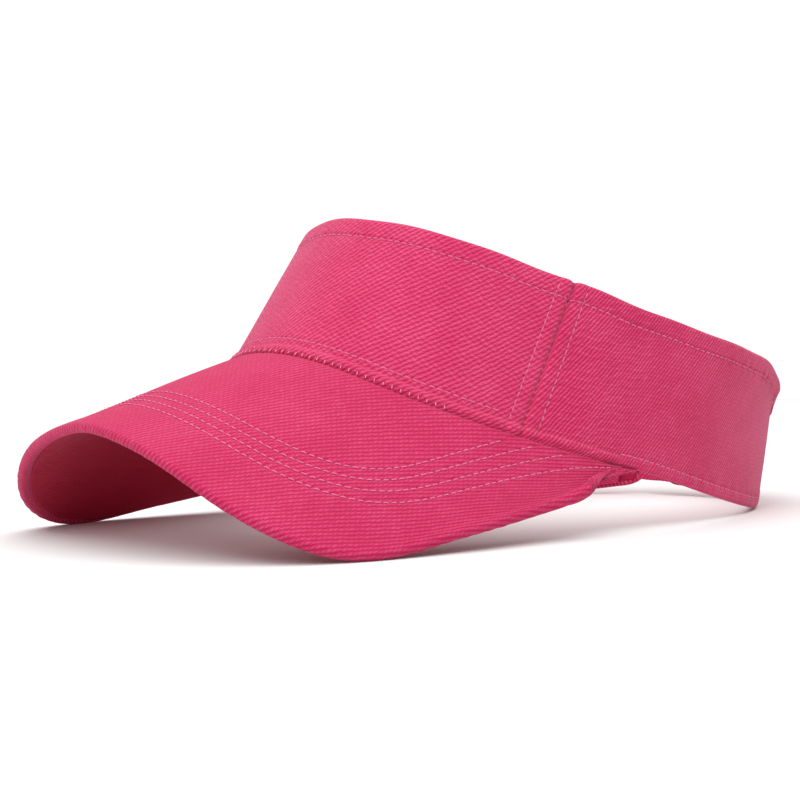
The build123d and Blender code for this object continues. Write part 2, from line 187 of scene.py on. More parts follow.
def edge_height(points, q):
    """Height of an edge curve q degrees round; the curve is given against the distance behind the origin."""
    h = np.full(np.shape(q), 20.0)
    for _ in range(6):
        h = curve_through(points, wall(q, h)[..., 1])
    return h


Q_TABLE = np.linspace(0, 180, 721)
MID_LINE = wall(Q_TABLE, H_REF / 2)
S_TABLE = run_along(MID_LINE)


def arc(q):
    """Distance round the band from the front centre, at mid height (mm)."""
    return np.sign(q) * np.interp(np.abs(q), Q_TABLE, S_TABLE)


def angle_at(s):
    """The inverse of arc."""
    return np.sign(s) * np.interp(np.abs(s), S_TABLE, Q_TABLE)


SEAM_S = float(arc(SEAM_Q))
END_Q = float(np.interp(-PANEL_END_X, -MID_LINE[360:, 0], Q_TABLE[360:]))
END_S = float(arc(END_Q))


def panel_edges(s):
    """Angle round the band, and the heights of the panels' lower and upper edges, at distances s."""
    q = angle_at(s)
    dip = 0.55 * groove(np.abs(s) - SEAM_S, 1.3)
    return q, edge_height(LOW_EDGE, q), edge_height(TOP_EDGE, q) - dip + 0.3 * wave_1d(s, 45.0, 3)


# ---------------------------------------------------------------- mesh building
def grid_faces(rows, cols, close_cols=False):
    r, c = np.meshgrid(np.arange(rows - 1), np.arange(cols if close_cols else cols - 1), indexing="ij")
    a = r * cols + c
    b = r * cols + (c + 1) % cols
    return np.stack([a, b, b + cols, a + cols], -1).reshape(-1, 4)


def make_mesh(name, verts, faces, uv, material, thickness=0.0, offset=-1.0):
    """verts in mm; uv in mm for each vertex."""
    me = bpy.data.meshes.new(name)
    me.vertices.add(len(verts))
    me.vertices.foreach_set("co", (np.asarray(verts) * MM).ravel())
    faces = np.asarray(faces)
    me.loops.add(faces.size)
    me.loops.foreach_set("vertex_index", faces.ravel().astype(np.int32))
    me.polygons.add(len(faces))
    me.polygons.foreach_set("loop_start", np.arange(0, faces.size, faces.shape[1], dtype=np.int32))
    me.update(calc_edges=True)
    me.polygons.foreach_set("use_smooth", np.ones(len(faces), bool))
    layer = me.uv_layers.new(name="UVMap")
    layer.data.foreach_set("uv", (np.asarray(uv)[faces.ravel()] * MM).ravel())
    me.materials.append(material)
    me.validate()
    ob = bpy.data.objects.new(name, me)
    bpy.context.scene.collection.objects.link(ob)
    if thickness:
        m = ob.modifiers.new("cloth", "SOLIDIFY")
        m.thickness = thickness * MM
        m.offset = offset
    return ob


def grid_mesh(name, points, uv, material, thickness=0.0, offset=-1.0, flip=False):
    rows, cols = points.shape[:2]
    faces = grid_faces(rows, cols)
    if flip:
        faces = faces[:, ::-1]
    return make_mesh(name, points.reshape(-1, 3), faces, uv.reshape(-1, 2), material, thickness, offset)


def stitch_mesh(name, lines, material, width=0.46, height=0.30, step=STITCH_STEP, length=STITCH_LEN):
    """Sewn thread: short rounded stitches along each line, which is a pair: points and outward normals."""
    verts, faces = [], []
    ring, segs = 8, 7
    cap = np.array([[0, 1, 2, 3], [0, 3, 4, 5], [0, 5, 6, 7]])    # the faces that close a stitch's end
    t = np.linspace(0, 1, segs)
    ang = np.linspace(0, 2 * math.pi, ring, endpoint=False)
    full = np.sqrt(np.clip(1 - (2 * t - 1) ** 4, 0.03, 1))
    lift = height * (0.5 * np.sin(math.pi * t) ** 0.6) - 0.05
    rise = lift[:, None] + (full * height * 0.5)[:, None] * np.sin(ang)
    spread = (full * width * 0.5)[:, None] * np.cos(ang)
    for path, nor in lines:
        s = run_along(path)
        for k in range(int(s[-1] / step)):
            at = k * step + 0.1 + t * length
            p, n = resample(path, s, at), resample(nor, s, at)
            n /= np.linalg.norm(n, axis=1)[:, None]
            d = np.gradient(p, axis=0)
            d /= np.linalg.norm(d, axis=1)[:, None]
            side = np.cross(d, n)
            block = p[:, None] + n[:, None] * rise[..., None] + side[:, None] * spread[..., None]
            start = segs * ring * len(verts)
            verts.append(block.reshape(-1, 3))
            faces.append(grid_faces(segs, ring, True)[:, ::-1] + start)
            for row in (0, segs - 1):
                loop = start + row * ring + np.arange(ring)
                loop = loop if row == 0 else loop[::-1]
                faces.append(loop[cap])
    verts = np.concatenate(verts)
    return make_mesh(name, verts, np.concatenate(faces), verts[:, :2], material)


def upward_normals(points):
    """Unit normals of a grid of points (rows, cols, 3), turned so that the middle one points up."""
    n = np.cross(np.gradient(points, axis=1), np.gradient(points, axis=0))
    n = n / np.maximum(np.linalg.norm(n, axis=-1, keepdims=True), 1e-9)
    return n * np.sign(n[n.shape[0] // 2, n.shape[1] // 2, 2])


def attach(ob, body, node=None):
    """The piece rides on a body, and may stand for a CAD node, which it then hides."""
    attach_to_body(ob, body)
    if node:
        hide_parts(node)
    return ob


# ---------------------------------------------------------------- materials
class Nodes:
    """A little shorthand for building a node tree."""

    def __init__(self, name):
        self.mat = bpy.data.materials.new(name)
        self.mat.use_nodes = True
        self.tree = self.mat.node_tree
        self.bsdf = self.tree.nodes["Principled BSDF"]

    def add(self, kind, **props):
        n = self.tree.nodes.new(kind)
        for k, v in props.items():
            setattr(n, k, v)
        return n

    def link(self, a, b):
        self.tree.links.new(a, b)

    def put(self, socket, value):
        if hasattr(value, "is_output"):
            self.link(value, socket)
        else:
            socket.default_value = value

    def math(self, op, a, b=0.0, c=0.0):
        n = self.add("ShaderNodeMath", operation=op)
        for k, v in enumerate((a, b, c)):
            self.put(n.inputs[k], v)
        return n.outputs[0]

    def mix(self, fac, a, b):
        n = self.add("ShaderNodeMix", data_type="RGBA")
        self.put(n.inputs[0], fac)
        self.put(n.inputs[6], a)
        self.put(n.inputs[7], b)
        return n.outputs[2]

    def surface(self, colour, height, bump, rough, settings):
        """Joins colour, relief and roughness to the shader, and returns the material."""
        self.put(self.bsdf.inputs["Base Color"], colour)
        self.put(self.bsdf.inputs["Roughness"], rough)
        node = self.add("ShaderNodeBump")
        node.inputs["Distance"].default_value = bump * MM
        self.link(height, node.inputs["Height"])
        self.link(node.outputs[0], self.bsdf.inputs["Normal"])
        for name, value in settings.items():
            self.bsdf.inputs[name].default_value = value
        return self.mat

    def noise(self, vec, scale, detail=3.0, rough=0.55):
        n = self.add("ShaderNodeTexNoise")
        self.link(vec, n.inputs["Vector"])
        n.inputs["Scale"].default_value = scale
        n.inputs["Detail"].default_value = detail
        n.inputs["Roughness"].default_value = rough
        return n.outputs[0]

    def ramp(self, value, lo, hi, out_lo=0.0, out_hi=1.0):
        n = self.add("ShaderNodeMapRange", interpolation_type="SMOOTHSTEP")
        for k, v in enumerate((value, lo, hi, out_lo, out_hi)):
            self.put(n.inputs[k], v)
        return n.outputs[0]


def rgb(r, g, b):
    return (r, g, b, 1.0)


def cloth_settings(specular, sheen, sheen_rough, tint):
    return {"Specular IOR Level": specular, "Sheen Weight": sheen, "Sheen Roughness": sheen_rough,
            "Sheen Tint": tint}


def twill(name, base, dark, light, angle, pitch, bump=0.2, sheen=0.3, float_len=1.7):
    """Cotton twill: slanted ribs made of short floats, with fuzz; painted shade in the ribs' grooves and
    painted highlight on their crests, with faint random colour variation.
    """
    n = Nodes(name)
    uv = n.add("ShaderNodeUVMap", uv_map="UVMap").outputs[0]
    sep = n.add("ShaderNodeSeparateXYZ")
    n.link(uv, sep.inputs[0])
    u, v = n.math("MULTIPLY", sep.outputs[0], 1000.0), n.math("MULTIPLY", sep.outputs[1], 1000.0)
    wob = n.math("MULTIPLY", n.math("SUBTRACT", n.noise(uv, 330.0, 3.0), 0.5), 0.9)
    ca, sa = math.cos(angle), math.sin(angle)
    across = n.math("ADD", n.math("ADD", n.math("MULTIPLY", u, -sa), n.math("MULTIPLY", v, ca)), wob)
    along = n.math("ADD", n.math("MULTIPLY", u, ca), n.math("MULTIPLY", v, sa))
    cell = n.math("DIVIDE", across, pitch)
    index, frac = n.math("FLOOR", cell), n.math("FRACT", cell)
    rib = n.math("POWER", n.math("SINE", n.math("MULTIPLY", frac, math.pi)), 0.75)
    # the floats of each rib lean across it and step along from rib to rib
    lean = n.math("MULTIPLY", frac, 1.25)
    step = n.math("ADD", n.math("MULTIPLY", index, 0.37), n.math("MULTIPLY", wob, 1.1))
    place = n.math("ADD", n.math("ADD", n.math("DIVIDE", along, float_len), lean), step)
    lens = n.math("POWER", n.math("SINE", n.math("MULTIPLY", n.math("FRACT", place), math.pi)), 0.55)
    height = n.math("MULTIPLY", rib, n.math("ADD", n.math("MULTIPLY", lens, 0.45), 0.5))
    fibre = n.noise(uv, 4300.0, 3.0, 0.7)
    patch = n.noise(uv, 45.0, 4.0, 0.6)
    pick = n.add("ShaderNodeCombineXYZ")
    n.link(index, pick.inputs[0])
    n.link(n.math("FLOOR", place), pick.inputs[1])
    each = n.add("ShaderNodeTexWhiteNoise", noise_dimensions="2D")
    n.link(pick.outputs[0], each.inputs["Vector"])
    height = n.math("ADD", height, n.math("MULTIPLY", fibre, 0.16))
    height = n.math("ADD", height, n.math("MULTIPLY", each.outputs["Value"], 0.12))
    # painted shade and highlight: the tone follows the ribs' height, darker in the grooves and lighter on
    # the crests, plus random patches and fibres
    tone = n.math("ADD", height, n.math("MULTIPLY", n.math("SUBTRACT", patch, 0.5), 0.45))
    tone = n.math("ADD", tone, n.math("MULTIPLY", n.math("SUBTRACT", fibre, 0.5), 0.35))
    col = n.mix(n.ramp(tone, 0.05, 0.75), dark, base)
    col = n.mix(n.ramp(tone, 0.72, 1.25, 0.0, 0.75), col, light)
    return n.surface(col, height, bump, n.ramp(fibre, 0.2, 0.8, 0.88, 0.98),
                     cloth_settings(0.12, sheen, 0.4, rgb(1.0, 0.72, 0.88)))


def plain_weave(name, base, dark, pitch=0.55, bump=0.08, sheen=0.08):
    """Fine plain weave: over-and-under threads both ways, with painted shade where the threads dip."""
    n = Nodes(name)
    uv = n.add("ShaderNodeUVMap", uv_map="UVMap").outputs[0]
    sep = n.add("ShaderNodeSeparateXYZ")
    n.link(uv, sep.inputs[0])
    u = n.math("MULTIPLY", sep.outputs[0], 1000.0 * math.pi / pitch)
    v = n.math("MULTIPLY", sep.outputs[1], 1000.0 * math.pi / pitch)
    su, sv = n.math("SINE", u), n.math("SINE", v)
    weave = n.math("ADD", n.math("MULTIPLY", n.math("MULTIPLY", su, sv), 0.5), 0.5)
    slub = n.noise(uv, 900.0, 3.0)
    patch = n.noise(uv, 40.0, 3.0)
    height = n.math("ADD", weave, n.math("MULTIPLY", slub, 0.5))
    uneven = n.math("MULTIPLY", n.math("SUBTRACT", patch, 0.5), 0.4)
    # painted shade: the colour is darker where the threads dip under each other, with random unevenness on
    # top
    tone = n.math("ADD", n.math("MULTIPLY", height, 0.5), uneven)
    colour, rough = n.mix(n.ramp(tone, 0.1, 0.7), dark, base), n.ramp(slub, 0.2, 0.8, 0.85, 0.97)
    return n.surface(colour, height, bump, rough, cloth_settings(0.08, sheen, 0.5, rgb(1.0, 0.75, 0.86)))


def thread_material(name, base, dark):
    """Two-ply sewing thread: fine diagonal twist, with painted shade in the twist's grooves."""
    n = Nodes(name)
    obj = n.add("ShaderNodeTexCoord").outputs["Object"]
    w = n.add("ShaderNodeTexWave", wave_type="BANDS", bands_direction="DIAGONAL")
    n.link(obj, w.inputs["Vector"])
    w.inputs["Scale"].default_value = 900.0
    w.inputs["Distortion"].default_value = 1.2
    fibre = n.noise(obj, 6000.0, 2.0)
    # painted shade: the thread is darker where the twist's relief is low
    colour = n.mix(n.math("MULTIPLY", n.math("ADD", w.outputs[1], fibre), 0.55), dark, base)
    return n.surface(colour, w.outputs[1], 0.05, n.ramp(fibre, 0.2, 0.8, 0.5, 0.7), {"Sheen Weight": 0.2})


# PINK_DARK is the painted shade of the rib grooves and PINK_LIGHT the painted highlight of the rib crests,
# both also mixed in by random patches
PINK = rgb(0.60, 0.034, 0.125)
PINK_DARK = rgb(0.39, 0.010, 0.052)
PINK_LIGHT = rgb(0.74, 0.13, 0.25)
# painted shade: a darker copy of the panel pink for the side panels, straps and sweatband, the same cloth
# darkened for how light falls on them
SIDE_PINK_SHADED = rgb(0.57, 0.026, 0.110)
# painted shade: the brim's pinks are darker copies of the panel pinks, the same cloth darkened for how light
# falls on the brim's top
BRIM_PINK_SHADED, BRIM_LIGHT = rgb(0.52, 0.022, 0.098), rgb(0.64, 0.09, 0.19)
FRONT_TWILL = twill("twill_front", PINK, PINK_DARK, PINK_LIGHT, math.radians(47), 1.5)
SIDE_TWILL = twill("twill_side", SIDE_PINK_SHADED, PINK_DARK, PINK_LIGHT, math.radians(65), 1.25, bump=0.15)
BRIM_TWILL = twill("twill_brim", BRIM_PINK_SHADED, PINK_DARK, BRIM_LIGHT, math.radians(108), 1.6, bump=0.18,
                   sheen=0.18)
STRAP_TWILL = twill("twill_strap", SIDE_PINK_SHADED, PINK_DARK, PINK_LIGHT, math.radians(50), 1.3, bump=0.15)
LINING = plain_weave("lining_cloth", rgb(0.52, 0.022, 0.09), rgb(0.35, 0.009, 0.045))
# painted shade: the under cover's pink is darker and deeper crimson, standing for the shade and pink-on-pink
# bounce under the brim
SHADED_UNDER_CLOTH = plain_weave("under_brim_cloth", rgb(0.50, 0.014, 0.058), rgb(0.34, 0.007, 0.03), pitch=0.6)
SWEAT = twill("sweatband_cloth", SIDE_PINK_SHADED, PINK_DARK, PINK_LIGHT, math.radians(40), 0.9, bump=0.1,
              float_len=0.9)
TAPE = plain_weave("seam_tape_cloth", rgb(0.54, 0.026, 0.10), rgb(0.35, 0.009, 0.045), pitch=0.8, bump=0.12)
THREAD = thread_material("thread_pink", rgb(0.80, 0.19, 0.35), rgb(0.58, 0.06, 0.17))
THREAD_LIGHT = thread_material("thread_light", rgb(0.85, 0.40, 0.52), rgb(0.7, 0.2, 0.32))


# ---------------------------------------------------------------- the band's outer cloth
def outer_relief(s, q, v, height):
    """How far the cloth stands out of the wall (mm). s runs round the band, v up from the lower edge."""
    up = height - v
    swell = 0.35 * ripple(s, v, 60.0, 11)
    # top hem: two more layers of cloth above the stitch row, with small puckers
    hem = 0.30 * smooth(TOP_STITCH + 0.6, TOP_STITCH - 1.2, up) * smooth(-0.5, 2.0, up)
    pucker = 0.16 * wave_1d(s, 7.0, 5) * np.exp(-((up - TOP_STITCH) / 2.6) ** 2)
    row = -0.32 * groove(up - TOP_STITCH, 0.55)
    # vertical seam: a ditch, with the allowance puffed out to a stitch row each side
    ds = np.abs(s) - SEAM_S
    ditch = -(0.25 + 0.55 * np.sin(math.pi * v / 2.7) ** 2) * groove(ds, 0.6) - 0.3 * groove(ds, 1.4)
    puff = 0.28 * smooth(SEAM_STITCH + 0.8, SEAM_STITCH - 0.8, np.abs(ds)) * smooth(0.2, 2.0, np.abs(ds))
    seam_row = -0.30 * groove(np.abs(ds) - SEAM_STITCH, 0.5)
    seam_pucker = 0.14 * wave_1d(v + 31 * np.sign(s), 8.0, 8) * groove(np.abs(ds) - SEAM_STITCH, 3.0)
    flare = 1.6 * smooth(118.0, 140.0, np.abs(q)) * smooth(6.0, 1.0, up)
    relief = swell + hem + pucker + row + ditch + puff + seam_row + seam_pucker + flare
    # lower edge: a rolled ridge along the join with the brim, or a stitched hem behind it
    join = edge_height(JOIN_EDGE, q) - edge_height(LOW_EDGE, q)
    above = v - join
    at_brim = smooth(87.0, 83.0, np.abs(q))
    roll = 1.15 * np.sqrt(np.clip(1 - ((above - 1.0) / 1.65) ** 2, 0, 1)) - 0.25 * groove(above - 3.2, 0.7)
    ribs = np.sin(2 * math.pi * (s / 1.4 + 0.25 * wave_1d(s, 9.0, 22)))
    gather = 1 + 0.08 * wave_1d(s, 3.2, 21) + 0.16 * ribs
    relief = relief + at_brim * roll * gather
    low_hem = 0.28 * smooth(LOW_STITCH + 0.8, LOW_STITCH - 0.8, v) - 0.3 * groove(v - LOW_STITCH, 0.5)
    low_pucker = 0.15 * wave_1d(s, 6.5, 15) * np.exp(-((v - LOW_STITCH) / 2.4) ** 2)
    relief = relief + (1 - at_brim) * (low_hem + low_pucker)
    row2 = smooth(70.5, 68.5, np.abs(q)) * -0.25 * groove(above - 5.0, 0.5)
    return relief + row2


def panel_profile(height, depth=1.85, roll=1.05):
    """The cloth's path through each cross-section: height above the lower edge, depth, and outer share."""
    turn = np.linspace(0, math.pi, 9)[1:-1]
    v, d, o = [], [], []

    def put(vv, dd, oo):
        v.append(np.broadcast_to(vv, height.shape))
        d.append(dd)
        o.append(oo)

    for t in np.linspace(0, 1, 6):
        put(roll + (HEM - roll) * (1 - t), depth, 0.0)
    for a in turn:
        put(roll - roll * np.sin(a), depth / 2 * (1 + math.cos(a)), float(1 - math.cos(a)) / 2)
    for t in np.linspace(0, 1, 120):
        put(roll + (height - 2 * roll) * t, 0.0, 1.0)
    for a in turn:
        put(height - roll + roll * np.sin(a), depth / 2 * (1 - math.cos(a)), float(1 + math.cos(a)) / 2)
    for t in np.linspace(0, 1, 6):
        put(height - roll - (HEM - roll) * t, depth, 0.0)
    return np.array(v), np.array(d), np.array(o)


def cloth_wall(name, s_values, material, mirror=False):
    """An outer panel: one sheet of cloth, hemmed along both edges, with rounded corners at the back."""
    q, low, top = panel_edges(s_values)
    cut = corner_cut(END_S - np.abs(s_values))
    top, low = top - cut, low + 0.6 * cut
    height = top - low
    v, d, o = panel_profile(height)
    s_grid = np.broadcast_to(s_values, v.shape)
    q_grid = np.broadcast_to(q, v.shape)
    lift = outer_relief(s_grid, q_grid, v, height) * o[:, None]
    pts = to_world(wall(q_grid, low + v, d[:, None] - lift))
    uv = np.stack([s_grid * (-1 if mirror else 1), run_along(pts)], -1)
    return grid_mesh(name, pts, uv, material, thickness=CLOTH_T)


def stations(a, b, step, marks=()):
    """Evenly spaced places from a to b, denser round the marks."""
    x = list(np.linspace(a, b, int(abs(b - a) / step) + 1))
    for m in marks:
        x += list(m + np.linspace(-2.4, 2.4, 17))
    x = np.array(sorted(v for v in set(np.round(x, 4)) if a - 1e-6 <= v <= b + 1e-6))
    keep = np.concatenate([[True], np.diff(x) > 0.12])
    return x[keep]


STATION = 0.48
front_s = stations(-SEAM_S - SEAM_LAP, SEAM_S + SEAM_LAP, STATION,
                   (-SEAM_S, SEAM_S, -SEAM_S + SEAM_STITCH, SEAM_S - SEAM_STITCH))
side_s = stations(SEAM_S - SEAM_LAP, END_S, STATION, (SEAM_S, SEAM_S + SEAM_STITCH))
attach(cloth_wall("front_panel_cloth", front_s, FRONT_TWILL), "visor", "front_panel")
attach(cloth_wall("side_panel_left_cloth", side_s, SIDE_TWILL), "visor", "side_panel_left")
attach(cloth_wall("side_panel_right_cloth", -side_s[::-1], SIDE_TWILL, mirror=True), "visor",
       "side_panel_right")


# ---------------------------------------------------------------- lining, interlining and sweatband
def inner_sheet(name, s_values, depth, margin, material, relief, thickness, seed=4):
    """A layer of cloth behind the panels, which stops short of their edges by the margin."""
    q = angle_at(s_values)
    low, top = edge_height(LOW_EDGE, q) + margin, edge_height(TOP_EDGE, q) - margin
    h = low + (top - low) * np.linspace(0, 1, 60)[:, None]
    s_grid = np.broadcast_to(s_values, h.shape)
    pts = to_world(wall(q, h, depth + relief * ripple(s_grid, h, 35.0, seed)))
    return grid_mesh(name, pts, np.stack([s_grid, h], -1), material, thickness=thickness, offset=1.0)


inner_front = np.linspace(-SEAM_S + 0.3, SEAM_S - 0.3, 150)
stiff_front = np.linspace(-SEAM_S + 3.5, SEAM_S - 3.5, 140)
inner_side = np.linspace(SEAM_S + 0.3, END_S - 3.0, 160)
stiff_side = np.linspace(SEAM_S + 3.5, END_S - 5.0, 150)
BUCKRAM = plain_weave("buckram", rgb(0.80, 0.78, 0.72), rgb(0.6, 0.58, 0.53), pitch=1.1, bump=0.15)
LAYERS = [("lining", LINING_D, LINING, "lining", inner_front, inner_side),
          ("interlining", STIFF_D, BUCKRAM, "stiffener", stiff_front, stiff_side)]
for kind, depth, mat, slot, front, side in LAYERS:
    for name, places in ((f"front_{kind}", front), (f"side_{kind}_left", side),
                         (f"side_{kind}_right", -side[::-1])):
        layer = inner_sheet(name + "_cloth", places, depth, INNER_EDGE, mat, 0.1, INNER_T)
        attach(layer, "visor", name)


def sweatband_piece():
    """A padded band inside the lower edge: flat-sewn below, softly rounded along its upper edge."""
    s = np.linspace(-END_S + 9.0, END_S - 9.0, 460)
    q = angle_at(s)
    low = edge_height(LOW_EDGE, q)
    top, row = SWEAT_LO + SWEAT_H, 3.4                 # its upper edge, and the stitch row's height
    prof = []                                          # height, depth, and how much unevenness shows
    for t in np.linspace(0, 1, 34):
        puff = 1.5 * smooth(0.0, 0.16, t) * smooth(1.02, 0.9, t) + 0.35
        prof.append((SWEAT_LO + SWEAT_H * t, SWEAT_D + puff, 1.0))
    for a in np.linspace(0, math.pi, 9)[1:-1]:
        prof.append((top + 0.8 * math.sin(a), SWEAT_D + 0.55 * (1 + math.cos(a)) / 2 + 0.1, 0.4))
    for t in np.linspace(0, 1, 12):
        prof.append((top - SWEAT_H * t, SWEAT_D, 0.0))
    v, d, o = np.array(prof).T[..., None]
    pucker = 0.12 * wave_1d(s, 6.0, 14) * groove(v - row, 3.0)
    relief = (0.3 * ripple(s + 0 * v, v + 0 * s, 24.0, 9) + pucker - 0.35 * groove(v - row, 0.6)) * o
    pts = to_world(wall(q, low + v, d + relief))
    pts = np.concatenate([pts, pts[:1]])
    run = run_along(pts)
    uv = np.stack([np.broadcast_to(s, run.shape), run], -1)
    return grid_mesh("sweatband_pad", pts, uv, SWEAT, flip=True)


sweat = attach(sweatband_piece(), "visor", "sweatband")
for sx, node in ((1, "seam_tape_left"), (-1, "seam_tape_right")):
    places = sx * SEAM_S + np.linspace(-6.5, 6.5, 40)
    attach(inner_sheet(node + "_cloth", places, TAPE_D, 8.0, TAPE, 0.08, 0.4, seed=6), "visor", node)


# ---------------------------------------------------------------- the brim
def arch(x, s):
    """Height of the brim against its crown line, x across and s forward."""
    a, b = ARCH_A + ARCH_DA * s, ARCH_B + ARCH_DB * s
    return b * ((1 - np.minimum(np.abs(x) / a, 0.9999) ** ARCH_N) ** (1 / ARCH_N) - 1)


def brim_point(x, s):
    h = arch(x, s)
    c, t = math.cos(GAM), math.sin(GAM)
    return np.stack([x, BRIM_Y - s * c - h * t, BRIM_Z - s * t + h * c], -1)


def forward(p):
    return -(p[..., 1] - BRIM_Y) * math.cos(GAM) - (p[..., 2] - BRIM_Z) * math.sin(GAM)


def outline(t):
    """The brim's edge, x and s: t 0 at the front centre, 1 at the widest place, 2 at the rear corner."""
    a = np.clip(t, 0, 1) * math.pi / 2
    x1 = HALF_W * np.sin(a) ** (2 / CORNER)
    s1 = SIDE_S + (LEN_F - SIDE_S) * np.cos(a) ** (2 / CORNER)
    k = np.clip(t - 1, 0, 1)
    x2, s2 = HALF_W - (HALF_W - REAR_X) * k**2, SIDE_S + (REAR_S - SIDE_S) * k
    return np.where(t <= 1, x1, x2), np.where(t <= 1, s1, s2)


def join_points(phi_deg):
    q = 90 + phi_deg
    return to_world(wall(q, edge_height(JOIN_EDGE, q), -0.2))


def brim_rulings(count):
    """Inner and outer ends of the brim's straight lines on the left half, front centre to rear corner."""
    fine = 2 * np.linspace(0, 1, 4000) ** 1.3
    x, s = outline(fine)
    run = run_along(brim_point(x, s))
    t = np.interp(np.linspace(0, run[-1], count), run, fine)
    x, s = outline(t)
    share = np.minimum(x / (ARCH_A + ARCH_DA * s), 0.985)
    phi = np.linspace(-90, -2.5, 800)
    j = join_points(phi)
    key = j[:, 0] / (ARCH_A + ARCH_DA * forward(j))
    p = np.interp(share, key, phi)
    # ease the inner ends so that they keep moving toward the rear corner
    p = p + smooth(1.0, 2.0, t) * np.linspace(0, 1, count) * 2.0
    return join_points(np.minimum(p, -1.0)), brim_point(x, s)


J_HALF, O_HALF = brim_rulings(185)
FLIP = np.array([-1, 1, 1])
to_tip = run_along(O_HALF[::-1])[::-1]
O_HALF[:, 0] -= (O_HALF[:, 0] - TIP_X) * (1 - smooth(0.0, 20.0, to_tip)) * 0.9
J_ALL = np.concatenate([(J_HALF * FLIP)[:0:-1], J_HALF])
O_ALL = np.concatenate([(O_HALF * FLIP)[:0:-1], O_HALF])
REACH = np.linalg.norm(O_ALL - J_ALL, axis=1)          # length of each ruling
RUN_O = run_along(O_ALL)
RUN_O -= RUN_O[len(RUN_O) // 2]
# the brim thins out and closes onto the band at its two rear corners
TO_TIP = RUN_O[-1] - np.abs(RUN_O)
THIN = 0.22 + 0.78 * smooth(0.0, 26.0, TO_TIP)


def brim_surface(share):
    """Points of the brim's smooth upper surface: share of each ruling, 0 at the join to 1 at the edge."""
    return J_ALL[None] + (O_ALL - J_ALL)[None] * share[..., None]


def wall_gap(p):
    """Distance of world points outside the band's outer face (mm)."""
    c, t = math.cos(TILT), math.sin(TILT)
    yy, zz = p[..., 1] - BAND_Y, p[..., 2] - BAND_Z
    x, y, h = np.abs(p[..., 0]), yy * c - zz * t, yy * t + zz * c
    rf, rs, rb, cfy, csx, csy, cby = oval_params(h)
    front = np.arctan2(y - cfy, x) <= A_FRONT
    side = np.arctan2(y - csy, x - csx) <= A_BACK
    cx = np.where(front, 0, np.where(side, csx, 0))
    cy = np.where(front, cfy, np.where(side, csy, cby))
    return np.hypot(x - cx, y - cy) - np.where(front, rf, np.where(side, rs, rb))


def clear_of_wall(depth, least, most):
    """For each ruling, the share of its length at which a layer that deep comes clear of the band."""
    u = np.linspace(0, most, 120)
    middle = upward_normals(brim_surface(np.linspace(0, 1, 40)[:, None]))[20]
    clear = wall_gap(brim_surface(u[:, None]) - middle * (depth * THIN)[:, None]) > least
    return np.where(clear.any(axis=0), u[np.argmax(clear, axis=0)], most)


def brim_cloth_uv(p):
    """Flat-cloth coordinates of brim points: across the arch and forward (mm)."""
    x, s = p[..., 0], forward(p)
    xs = x[..., None] * np.linspace(0, 1, 40)
    across = np.sum(np.hypot(np.diff(xs, axis=-1), np.diff(arch(xs, s[..., None]), axis=-1)), axis=-1)
    return np.stack([np.sign(x) * across, s], -1)


def row_field(p, row):
    """Below 0 inside a stitch row, above 0 outside it."""
    half_w, reach = row
    return (np.abs(p[..., 0]) / half_w) ** ROW_N + (np.maximum(forward(p), 0) / reach) ** ROW_N - 1


def row_distance(p, row):
    """Distance of a grid of brim points from a stitch row, true near the row (mm)."""
    f = row_field(p, row)
    slope = [np.gradient(f, axis=k) / np.maximum(np.linalg.norm(np.gradient(p, axis=k), axis=-1), 1e-6)
             for k in (0, 1)]
    return f / np.maximum(np.hypot(*slope), 1e-4)


BASE = brim_surface(np.linspace(0, 1, 170)[:, None])
NORMAL = upward_normals(BASE)
NEAR_ROW = 12.0                    # a row's marks reach this far


def brim_relief(p):
    """Height of the top cover above the smooth surface: stitch rows, quilting and gentle waves."""
    uv = brim_cloth_uv(p)
    relief = 0.30 * ripple(uv[..., 0], uv[..., 1], 55.0, 31)
    for k, row in enumerate(ROWS):
        dist = row_distance(p, row)
        pucker = 0.04 * wave_1d(uv[..., 0] + uv[..., 1], 6.0, 40 + k) * groove(dist, 2.4)
        relief = relief + np.where(np.abs(dist) < NEAR_ROW, pucker - 0.24 * groove(dist, 0.8), 0)
    from_edge = np.linalg.norm(p - O_ALL[None], axis=-1)
    return relief + 0.18 * smooth(9.0, 4.0, from_edge)


